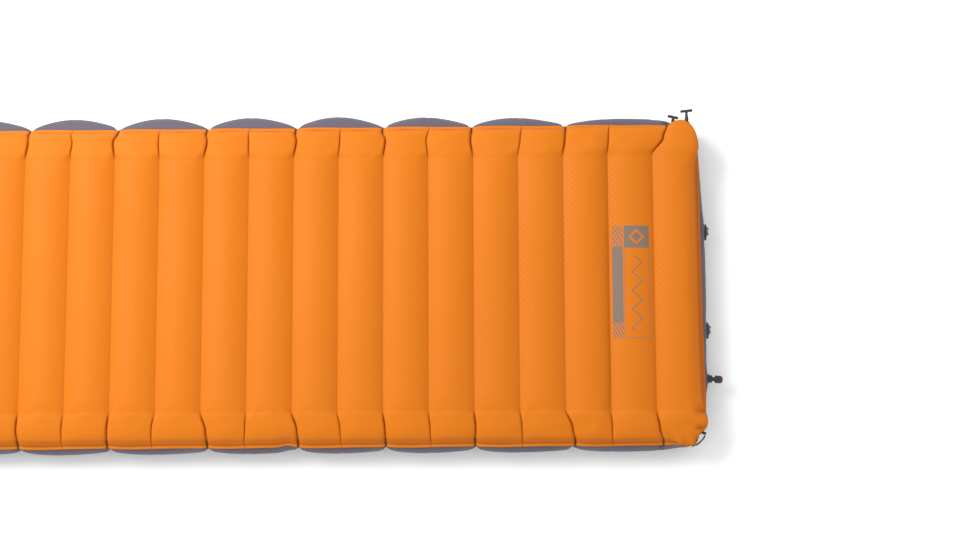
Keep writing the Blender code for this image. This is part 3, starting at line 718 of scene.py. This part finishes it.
def thicken(piece):
    """Gives a skin its thickness, inwards."""
    shell = piece.modifiers.new("skin", "SOLIDIFY")
    shell.thickness = SKIN
    shell.offset = -1


def store(mesh, name, values):
    """Stores a value per point, for a look to read."""
    attribute = mesh.attributes.new(name, "FLOAT", "POINT")
    attribute.data.foreach_set("value", values.astype(np.float32).reshape(-1))


MOST_MOVE = 4 * MM         # the most that the air moves a skin


def crease_shade(x, y):
    """How much painted shade the top skin gets along its grooves, down its creases, just inside its welds and in
    the corner folds, 0 to 1.
    """
    number, from_wall = nearest_wall(x)
    pinched = PINCHED[number]
    past = np.clip(past_walls(y), 0, 1)
    # Painted shade: a thin dark line along each groove
    line = 0.42 * hump(from_wall, 0, 1 * MM)
    # Painted shade down the creases beyond the walls' ends, stronger at the pinched walls
    width = np.where(pinched, 1.5, 1.0) * MM
    dark = np.where(pinched, 0.6, 0.45) * ease(past / 0.35) * np.exp(-(from_wall / width) ** 1.5)
    # Painted shade just inside the side and end welds, where the skin rolls down away from the lamp; on +Y it is
    # lens-shaped, deepest midway between the grooves
    lens = 0.35 + 0.65 * hump(from_wall, PITCH / 2, 24 * MM)
    side_weld_shade = np.where(y > 0, 0.7 * hump(WELD_Y - y, 1 * MM, 1.8 * MM) * lens,
                         0.4 * hump(WELD_Y + y, 3.5 * MM, 4 * MM))
    end_weld_shade = 0.6 * hump(WELD_X - np.abs(x), 1.5 * MM, 2.2 * MM)
    # The welds' painted shade, with more painted shade in the short folds at the loop's corner
    welds = np.maximum(side_weld_shade, end_weld_shade) + 0.7 * corner_folds(x, y)
    return np.clip(line + dark + welds, 0, 1)


def fold_shadow(x, y):
    """How much near-black painted shadow lies in the last stretch of each pinched crease, 0 to 1."""
    number, from_wall = nearest_wall(x)
    past = np.clip(past_walls(y), 0, 1)
    return 0.85 * PINCHED[number] * ease((past - 0.84) / 0.14) * hump(from_wall, 0, 2.4 * MM)


def over_pump(x, y):
    """1 where the top skin goes down with the pump's film, 0 where it stays."""
    low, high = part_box("pump_lid")
    along = ease((x - low.x + 10 * MM) / (24 * MM)) * ease((high.x + 2 * MM - x) / (24 * MM))
    across = ease((y - low.y + 40 * MM) / (70 * MM)) * ease((high.y + 30 * MM - y) / (60 * MM))
    return along * across


def top_skin():
    """The orange skin, welded to the walls and to the bottom skin's flange."""
    columns = tube_columns()
    rows = spaced(HALF_Y, WELD_Y, 15 * MM)
    x, y = np.meshgrid(columns, rows)
    points = top_point(x, y)
    points = points + soft_cap(sample(*top_moves(), x, y), MOST_MOVE)
    mesh = lattice_mesh("top_skin", points)
    store(mesh, "crease", crease_shade(x, y))
    store(mesh, "fold", fold_shadow(x, y))
    store(mesh, "flange", ease((np.abs(y) - WELD_Y) / (1 * MM)))
    skin = add_piece("top_skin", mesh, "orange_fabric")
    thicken(skin)
    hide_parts("top_panel")
    lid_low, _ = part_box("pump_lid")
    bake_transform(skin, "pad", "pump_lid", start=(WALL_LINES[0], 0, 0), end=(lid_low.x, 0, 0))
    weights = over_pump(points[..., 0], points[..., 1]).astype(np.float32).reshape(-1)
    mesh.attributes["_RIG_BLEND"].data.foreach_set("value", weights)


# The bottom skin's side, in its section: a flat on the floor, a bulge up to the weld, and
# the flange, each ending at a share of the way out.
FLAT_END = 0.22
BULGE_END = 0.93
FLANGE_START = 0.94
SECTION = 128 * MM         # its length, measured over the curve
FLOOR_REACH = 30 * MM      # the flat's reach from the corner's centre
WIDEST_Z = 37 * MM         # the height where the bulge stands out furthest
BOTTOM_GROOVE = 7 * MM


def side_swell(x, y, direction, shift):
    """How far the bottom skin stands out past the flange, in an arc between pinches."""
    arcs = []
    near_valves = np.clip(x, 0.2, HALF_X)
    last_ends = (HALF_X, HALF_X - 53 * MM)      # of the arc nearest the valve end
    for side, fullest, least in ((0, 34 - 15 * near_valves, 8), (1, 10, 3)):
        ends = np.sort(pinch_lines(side))
        ends[-1] = last_ends[side]
        along = np.interp(x, ends, np.arange(len(ends)))
        from_middle = 2 * (along - np.floor(along)) - 1
        arcs.append((least + (fullest - least) * (1 - np.abs(from_middle) ** 1.9)) * MM)
    side = np.where(y > 0, arcs[0], arcs[1])
    near_corner = ease((np.abs(x) - WALL_LINES[0] - 30 * MM) / (30 * MM))
    side = side * (1 - near_corner) + 1.5 * MM * near_corner
    full = ease((WALL_END - np.abs(y)) / (210 * MM))
    end = 2 * MM + (END_WALL_X - 1 * MM - HALF_X - shift) * full
    side_on = direction[..., 1] ** 2
    return side * side_on + end * (1 - side_on)


def flange_share(out):
    """0 at the bottom skin's weld, 1 at the flange's outer edge."""
    return np.clip((out - FLANGE_START) / (1 - FLANGE_START), 0, 1)


def bottom_section(out, swell):
    """The side's section: reach from the corner's centre, and height, at out 0 to 1."""
    turn = np.clip((out - FLAT_END) / (BULGE_END - FLAT_END), 0, 1) * math.pi - math.pi / 2
    lower = turn < 0
    widest = CORNER + swell
    weld = CORNER - FLANGE
    top_z = WELD_Z - 3 * MM
    cosine = np.clip(np.cos(turn), 0, 1)
    reach_low = FLOOR_REACH + (widest - FLOOR_REACH) * cosine ** 0.85
    reach_high = weld + (widest - weld) * cosine ** 0.72
    sine = np.abs(np.sin(turn)) ** 0.9
    height_low = WIDEST_Z * (1 - sine)
    height_high = WIDEST_Z + (top_z - WIDEST_Z) * sine
    reach = np.where(lower, reach_low, reach_high)
    height = np.where(lower, height_low, height_high)
    reach = np.where(out < FLAT_END, FLOOR_REACH * out / FLAT_END, reach)
    height = np.where(out < FLAT_END, 0, height)
    on_flange = out > BULGE_END
    reach = np.where(on_flange, weld + FLANGE * flange_share(out), reach)
    height = np.where(on_flange, WELD_Z - SKIN - 0.5 * MM, height)
    return reach, height


def bottom_point(x, y):
    """The bottom skin over each point of its flat lattice, before the air is let in."""
    half_x = HALF_X - CORNER + SECTION
    half_y = HALF_Y - CORNER + SECTION
    root, direction, out = round_corners(x, y, half_x, half_y, SECTION)
    turned = np.clip((np.abs(y) - WALL_END) / (half_y - WALL_END), 0, 1)
    turned_y = np.sign(y) * (WALL_END + (WELD_Y - WALL_END) * turned)
    drifted = follow_creases(root[..., 0], turned_y)
    shift_x = np.where(np.abs(direction[..., 0]) > 1e-6, 0, drifted - root[..., 0])
    edge_x, edge_y = root[..., 0] + shift_x, root[..., 1]
    shift = edge_shift(edge_x, edge_y, direction)
    reach, height = bottom_section(out, side_swell(edge_x, edge_y, direction, shift))
    reach = reach + shift * ease((out - 0.2) / 0.4)
    number, from_wall = nearest_wall(x)
    arc = np.clip((1 - from_wall / (PITCH / 2) - 0.35) / 0.65, 0, 1)
    groove = BOTTOM_GROOVE * arc ** 1.8 * (1 - ease((out - FLAT_END) / 0.35))
    notched = PINCHED[number] & (number > 0) & (number < WALL_COUNT - 1)
    deep = np.where(notched, 6, 0.6) * MM
    width = np.where(notched, 5, 2.5) * MM
    crease = deep * np.exp(-(from_wall / width) ** 1.2) * ease((out - 0.15) / 0.25)
    crease = crease * ease((0.95 - out) / 0.12) * np.abs(direction[..., 1])
    dip = pinch_dip(edge_x, edge_y, direction) * ease((out - 0.6) / 0.3)
    hang = droop(flange_share(out), corner_puff(edge_x, edge_y, direction)) + dip
    flat = root + direction * (reach - crease)[..., None]
    flat[..., 0] += shift_x
    return np.stack([flat[..., 0], flat[..., 1], height + groove - hang], -1)


def bottom_lattice(per_tube, section_steps, step):
    """Columns and rows of the bottom skin, with a column on every wall's line."""
    ring_x = HALF_X - CORNER
    ring_y = HALF_Y - CORNER
    flat = np.linspace(0.07, FLAT_END, 3)
    bulge = np.linspace(0.25, 0.92, section_steps)
    section = np.concatenate([flat, bulge, [BULGE_END, FLANGE_START + 0.0001, 0.97, 1]]) * SECTION
    numbers = np.arange(-per_tube, WALL_COUNT * per_tube)
    columns = WALL_LINES[-1] + PITCH * numbers / per_tube
    columns = columns[np.abs(columns) < ring_x - 1 * MM]
    columns = np.concatenate([[-ring_x], columns, [ring_x]])
    columns = np.concatenate([-ring_x - section[::-1], columns, ring_x + section])
    inner = np.linspace(-ring_y, ring_y, round(2 * ring_y / step) + 1)
    rows = np.concatenate([-ring_y - section[::-1], inner, ring_y + section])
    return columns, rows


def flatten_at_valves(points):
    """Keeps the end wall flat behind each valve's flange."""
    for name in ("intake_valve_flange", "dump_valve_flange", "mouth_valve_base"):
        low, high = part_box(name)
        centre_y, centre_z = (low.y + high.y) / 2, (low.z + high.z) / 2
        distance = np.hypot(points[..., 1] - centre_y, points[..., 2] - centre_z)
        share = ease((40 * MM - distance) / (18 * MM)) * (points[..., 0] > HALF_X - 6 * MM)
        share = share * ease((WELD_Z - 4 * MM - points[..., 2]) / (6 * MM))
        points[..., 0] = points[..., 0] * (1 - share) + (END_WALL_X - 0.4 * MM) * share
    return points


def bottom_moves(columns, rows):
    """The bottom skin's swelling and wrinkles on its sides."""
    x, y = np.meshgrid(columns, rows)
    points = bottom_point(x, y)
    ring_x, ring_y = HALF_X - CORNER, HALF_Y - CORNER
    out = np.maximum((np.abs(x) - ring_x) / SECTION, (np.abs(y) - ring_y) / SECTION)
    held = ((out < 0.2) | (out > 0.86)).astype(float)
    slack = 0.3 + 0.7 * ease((out - 0.2) / 0.3)
    return let_air_in("bottom_sheet", points, held, slack, False, 2.5, 14)


def bottom_skin():
    """The grey skin: a flat underside, swelling sides and the flange under the weld."""
    columns, rows = bottom_lattice(12, 26, 22 * MM)
    x, y = np.meshgrid(columns, rows)
    points = bottom_point(x, y)
    points = points + soft_cap(bottom_moves(columns, rows), MOST_MOVE)
    points[..., 2] = np.maximum(points[..., 2], 0)
    points = flatten_at_valves(points)
    mesh = lattice_mesh("bottom_skin", points, outward_up=False)
    number, from_wall = nearest_wall(x)
    ring_y = HALF_Y - CORNER
    out = np.clip((np.abs(y) - ring_y) / SECTION, 0, 1)
    # Painted shade: a dark line along each groove of the underside, down the pinched creases and under the
    # flange's rim
    line = np.exp(-(from_wall / (1.2 * MM)) ** 1.5) * 0.4 * (1 - ease(out / 0.15))
    pinched = PINCHED[number] * ease(out / 0.2) * np.exp(-from_wall / (4 * MM))
    under_flange_shade = hump(out, BULGE_END, 0.02)
    store(mesh, "crease", np.clip(line + pinched + under_flange_shade, 0, 1))
    seam = ~PINCHED[number] * hump(from_wall, 1.8 * MM, 0.9 * MM) * ease(out / 0.3)
    store(mesh, "seam", seam)
    skin = add_piece("bottom_skin", mesh, "grey_fabric")
    thicken(skin)
    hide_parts("bottom_panel")
    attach(skin, "pad")


# ---------------------------------------- the inner walls

def skin_height_near_wall(from_wall):
    """The top skin's underside and the bottom skin's upper side, beside a wall's line."""
    arc = 1 - from_wall / (PITCH / 2)
    top = WELD_Z + CROWN - GROOVE * arc ** 2 - SKIN
    bottom_arc = max(0, (arc - 0.35) / 0.65)
    return top, BOTTOM_GROOVE * bottom_arc ** 1.8 + SKIN


def inner_wall(node, line):
    """An I-shaped fabric wall whose welded flanges follow both skins."""
    web, gap = 0.4 * MM, 0.15 * MM
    steps = (6 * MM, 4 * MM, 2 * MM)
    upper = [(d, skin_height_near_wall(d)[0] - gap) for d in steps]
    lower = [(d, skin_height_near_wall(d)[1] + gap) for d in steps]
    half = [(0, skin_height_near_wall(0)[0] - gap)] + upper[::-1]
    half += [(d, z - 2 * web) for d, z in upper] + [(web, upper[-1][1] - 4 * web)]
    half += [(web, lower[-1][1] + 4 * web)] + [(d, z + 2 * web) for d, z in lower[::-1]]
    half += lower + [(0, skin_height_near_wall(0)[1] + gap)]
    section = half + [(-d, z) for d, z in reversed(half[1:-1])]
    ends = (-WALL_END, -WALL_END / 3, WALL_END / 3, WALL_END)
    rings = [[(line + d, y, z) for d, z in section] for y in ends]
    points = [point for ring in rings for point in ring]
    count = len(section)
    faces = [tuple(reversed(range(count))), tuple(range(3 * count, 4 * count))]
    for ring in range(3):
        for i in range(count):
            a, b = ring * count + i, ring * count + (i + 1) % count
            faces.append((a, b, b + count, a + count))
    mesh = bpy.data.meshes.new(node)
    mesh.from_pydata(points, [], faces)
    wall = add_piece(node.replace("inner_wall", "fabric_wall"), mesh, "wall_fabric")
    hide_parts(node)
    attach(wall, "pad")


# ---------------------------------------- moulded and sewn pieces

def to_mesh(made, name):
    """Turns a bmesh into a mesh and frees it."""
    mesh = bpy.data.meshes.new(name)
    made.to_mesh(mesh)
    made.free()
    return mesh


def turned_mesh(profile, matrix, steps=48):
    """A closed mesh turned round Z: (radius, height) pairs, from axis to axis."""
    made = bmesh.new()
    rings = []
    for radius, height in profile:
        if radius == 0:
            rings.append([made.verts.new((0, 0, height))])
            continue
        turns = [2 * math.pi * i / steps for i in range(steps)]
        rings.append([made.verts.new((radius * math.cos(t), radius * math.sin(t), height))
                      for t in turns])
    for low, high in zip(rings, rings[1:]):
        for i in range(steps):
            j = (i + 1) % steps
            corners = [low[i % len(low)], low[j % len(low)], high[j % len(high)],
                       high[i % len(high)]]
            made.faces.new(list(dict.fromkeys(corners)))
    bmesh.ops.recalc_face_normals(made, faces=made.faces)
    bmesh.ops.transform(made, matrix=matrix, verts=made.verts)
    return to_mesh(made, "turned")


def block_mesh(low, high, matrix, bevel):
    """A closed block between two corners, with rounded edges."""
    low, high = Vector(low), Vector(high)
    made = bmesh.new()
    bmesh.ops.create_cube(made, size=1)
    bmesh.ops.scale(made, vec=high - low, verts=made.verts)
    bmesh.ops.translate(made, vec=(low + high) / 2, verts=made.verts)
    bmesh.ops.bevel(made, geom=made.edges[:], offset=bevel, segments=3, affect="EDGES")
    bmesh.ops.transform(made, matrix=matrix, verts=made.verts)
    return to_mesh(made, "block")


def moulded(name, parts, slot, node, body):
    """One smooth piece from overlapping closed meshes, with soft inner corners."""
    made = bmesh.new()
    for part in parts:
        made.from_mesh(part)
    piece = add_piece(name, to_mesh(made, name), slot)
    melt = piece.modifiers.new("melt", "REMESH")
    melt.mode = "VOXEL"
    melt.voxel_size = 0.4 * MM
    melt.use_smooth_shade = True
    soften = piece.modifiers.new("soften", "SMOOTH")
    soften.factor = 0.5
    soften.iterations = 3
    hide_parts(node)
    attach(piece, body)


# Turns what is made along Z to face along X or Y
TO_PLUS_X = Matrix.Rotation(math.pi / 2, 4, "Y")
TO_PLUS_Y = Matrix.Rotation(-math.pi / 2, 4, "X")


def plug_cap(name, body):
    """A flat valve's cap: a low dome with two finger ridges, a hinge tongue and a tab."""
    flange_low, flange_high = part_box(f"{name}_valve_flange")
    seat_x = flange_low.x + 12 * MM
    centre_y = flange_high.y - 17 * MM
    centre_z = (flange_low.z + flange_high.z) / 2
    at = Matrix.Translation((seat_x, centre_y, centre_z)) @ TO_PLUS_X
    dome = ((0, 9.3), (4.5, 9.2), (8, 8.6), (11, 7.3), (13.4, 5.8), (15, 4.6), (15.1, 3.5),
            (14.4, 3.35), (9.7, 3.3), (9.7, -1.5), (9, -2.6), (8, -2.6), (8, 2), (0, 2))
    parts = [turned_mesh([(r * MM, h * MM) for r, h in dome], at)]
    blocks = [((-8.6, side * 5.9 - 1.9, 6), (8.6, side * 5.9 + 1.9, 11), 1.5) for side in (-1, 1)]
    blocks.append(((-3.7, -18.4, 3.4), (3.7, -13, 5), 0.5))
    blocks.append(((-4, 13, 3.4), (4, 17.4, 4.9), 0.5))
    for low, high, bevel in blocks:
        parts.append(block_mesh(Vector(low) * MM, Vector(high) * MM, at, bevel * MM))
    moulded(f"{name}_cap", parts, "charcoal_plastic", f"{name}_valve_cap", body)


def toggle(size, bar, tilt):
    """A soft T toggle, and the flared base it grows out of."""
    base_low, base_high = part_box(f"toggle_{size}_base")
    tee_low, tee_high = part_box(f"toggle_{size}")
    x = (base_low.x + base_high.x) / 2
    z = (base_low.z + base_high.z) / 2
    flat = Matrix.Diagonal((1, 1, 0.62, 1))
    flare = ((0, -9), (10.5, -9), (9.8, -5), (9, -1), (7.8, 2), (6.6, 4.4), (5.6, 6.2),
             (4.8, 7), (0, 7))
    at_base = Matrix.Translation((x, base_low.y, z)) @ flat @ TO_PLUS_Y
    parts = [turned_mesh([(r * MM, h * MM) for r, h in flare], at_base)]
    moulded(f"toggle_{size}_root", parts, "black_rubber", f"toggle_{size}_base", "pad")
    angle = math.radians(tilt)
    lift = bar / 2 * abs(math.sin(angle)) + 2.75 * MM * math.cos(angle)
    root = tee_low.y + 3 * MM
    neck = tee_high.y - lift - root
    stem = ((0, -3 * MM), (2.8 * MM, -2.7 * MM), (4.4 * MM, -1.4 * MM), (4.6 * MM, 1 * MM),
            (3.6 * MM, neck * 0.4), (2.8 * MM, neck * 0.65), (3.6 * MM, neck - 1 * MM),
            (0, neck))
    at_root = Matrix.Translation((x, root, z)) @ TO_PLUS_Y
    thick, half = 3.2 * MM, bar / 2 + 0.6 * MM
    rod = ((0, -half), (thick * 0.6, 0.5 * MM - half), (thick, 2.2 * MM - half),
           (thick * 0.94, 0), (thick, half - 2.2 * MM), (thick * 0.6, half - 0.5 * MM),
           (0, half))
    at_bar = (Matrix.Translation((x, root + neck, z)) @ Matrix.Rotation(angle, 4, "Z")
              @ TO_PLUS_X)
    parts = [turned_mesh(stem, at_root, 24), turned_mesh(rod, at_bar, 24)]
    moulded(f"toggle_{size}_tee", parts, "black_rubber", f"toggle_{size}", f"toggle_{size}")


def corner_loop():
    """A bow of cord round the corner, and the webbing tabs that hold its ends."""
    joint = [j for j in frame["joints"] if j["name"] == "corner_loop_swing"][0]
    first = Vector(joint["pos_m"])
    along = Vector(joint["axis"]).normalized()
    centre = Vector((HALF_X - CORNER, CORNER - HALF_Y, first.z))
    reach = (first - centre).length
    length = 2 * abs((first - centre).dot(along))
    if (first - centre).dot(along) > 0:
        along = -along
    outward = (first + along * length / 2 - centre).normalized()
    cord = bpy.data.curves.new("cord_loop", "CURVE")
    cord.dimensions = "3D"
    cord.bevel_depth = 1.7 * MM
    cord.bevel_resolution = 4
    cord.use_fill_caps = True
    spline = cord.splines.new("POLY")
    steps = 24
    spline.points.add(steps)
    for i, point in enumerate(spline.points):
        turn = math.pi * i / steps
        place = first + along * length * (1 - math.cos(turn)) / 2
        place += outward * 3 * MM * math.sin(turn)
        place.z += 0.8 * MM * math.sin(2 * turn)
        point.co = (*place, 1)
    bow = linked("cord_bow", cord)
    mesh = bpy.data.meshes.new_from_object(
        bow.evaluated_get(bpy.context.evaluated_depsgraph_get()))
    bpy.data.objects.remove(bow)
    mesh.shade_smooth()
    loop = add_piece("cord_loop", mesh, "black_cord")
    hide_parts("corner_loop")
    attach(loop, "corner_loop")
    for node in ("loop_tab_end", "loop_tab_side"):
        low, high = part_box(node)
        middle = (low + high) / 2
        out = (middle - centre).normalized()
        facing = (Matrix.Translation((*centre.xy, middle.z))
                  @ Matrix.Rotation(math.atan2(out.y, out.x), 4, "Z"))
        tab = block_mesh((38 * MM, -2.9 * MM, -3.4 * MM),
                         (reach + 1.4 * MM, 2.9 * MM, 3.4 * MM), facing, 0.9 * MM)
        tab.shade_smooth()
        piece = add_piece(node.replace("loop_tab", "webbing_tab"), tab, "black_cord",
                          "black_webbing")
        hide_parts(node)
        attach(piece, "pad")


def node_copy(node):
    """A bmesh of a CAD node, its points welded together."""
    made = bmesh.new()
    made.from_mesh(NODES[node].data)
    bmesh.ops.remove_doubles(made, verts=made.verts, dist=0.02 * MM)
    return made


def foam_block():
    """The pump's foam, its edges softened, on a mesh of its own; in the real pad the pump squeezes it flat."""
    made = node_copy("pump_foam")
    bmesh.ops.dissolve_limit(made, angle_limit=math.radians(2), verts=made.verts,
                             edges=made.edges)
    long_edges = [edge for edge in made.edges
                  if edge.calc_length() > 60 * MM and edge.calc_face_angle(0) > 0.5]
    bmesh.ops.bevel(made, geom=long_edges, offset=2.5 * MM, segments=3, affect="EDGES",
                    clamp_overlap=True)
    foam = add_piece("foam_block", to_mesh(made, "foam_block"), "open_cell_foam")
    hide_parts("pump_foam")
    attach(foam, "pad")
    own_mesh(foam)


def pocket_sheet():
    """The pump's film pocket; its upper edge goes down with the film over it."""
    mesh = to_mesh(node_copy("pump_pocket"), "pocket_sheet")
    sheet = add_piece("pocket_sheet", mesh, "pocket_film")
    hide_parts("pump_pocket")
    low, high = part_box("pump_pocket")
    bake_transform(sheet, "pad", "pump_lid", start=(0, 0, low.z), end=(0, 0, high.z - 26 * MM))
    values = mesh.attributes["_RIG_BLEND"].data
    for vertex, weight in zip(mesh.vertices, values):
        weight.value *= float(ease((high.x - 11 * MM - vertex.co.x) / (16 * MM)))


# ---------------------------------------- the stage

def stage_and_light():
    """A pale floor, soft light from all round and a large lamp to the upper left."""
    bpy.ops.mesh.primitive_plane_add(size=14, location=(0, 0, 0))
    floor = bpy.context.object
    floor.name = "floor"
    paper = bpy.data.materials.new("paper")
    paper.use_nodes = True
    shader = paper.node_tree.nodes["Principled BSDF"]
    shader.inputs["Base Color"].default_value = (0.93, 0.93, 0.93, 1)
    shader.inputs["Roughness"].default_value = 0.9
    floor.data.materials.append(paper)

    world = bpy.data.worlds.new("studio")
    bpy.context.scene.world = world
    world.use_nodes = True
    background = world.node_tree.nodes["Background"]
    background.inputs["Color"].default_value = (1, 1, 1, 1)
    background.inputs["Strength"].default_value = 1.0

    key = bpy.data.lights.new("key", "AREA")
    key.shape = "RECTANGLE"
    key.size = 1.8
    key.size_y = 1.8
    key.energy = 119
    lamp = linked("key", key)
    lamp.location = (-1.6, 1.3, 2.6)
    aim = Vector((0.35, 0, 0)) - lamp.location
    lamp.rotation_euler = aim.to_track_quat("-Z", "Y").to_euler()


def camera():
    """The photograph's view: almost straight down on the pad's valve half."""
    lens = bpy.data.cameras.new("camera")
    lens.lens = 74.3
    lens.sensor_width = 36
    eye = linked("camera", lens)
    eye.location = (0.5578, -0.6819, 4.5)
    eye.rotation_euler = (math.radians(9), 0.0062, -0.0059)
    bpy.context.scene.camera = eye


for part in frame["record"]["subparts"]:
    materials = NODES[part["node"]].data.materials
    materials.clear()
    materials.append(LOOKS[part["material_slot"]])

top_skin()
bottom_skin()
for wall_node, wall_line in zip(WALLS, WALL_LINES):
    inner_wall(wall_node, wall_line)
plug_cap("intake", "intake_cap")
plug_cap("dump", "dump_cap")
toggle("large", 27 * MM, 6)
toggle("small", 24 * MM, -13)
corner_loop()
foam_block()
pocket_sheet()
stage_and_light()
camera()
bpy.context.scene.view_settings.view_transform = "Standard"
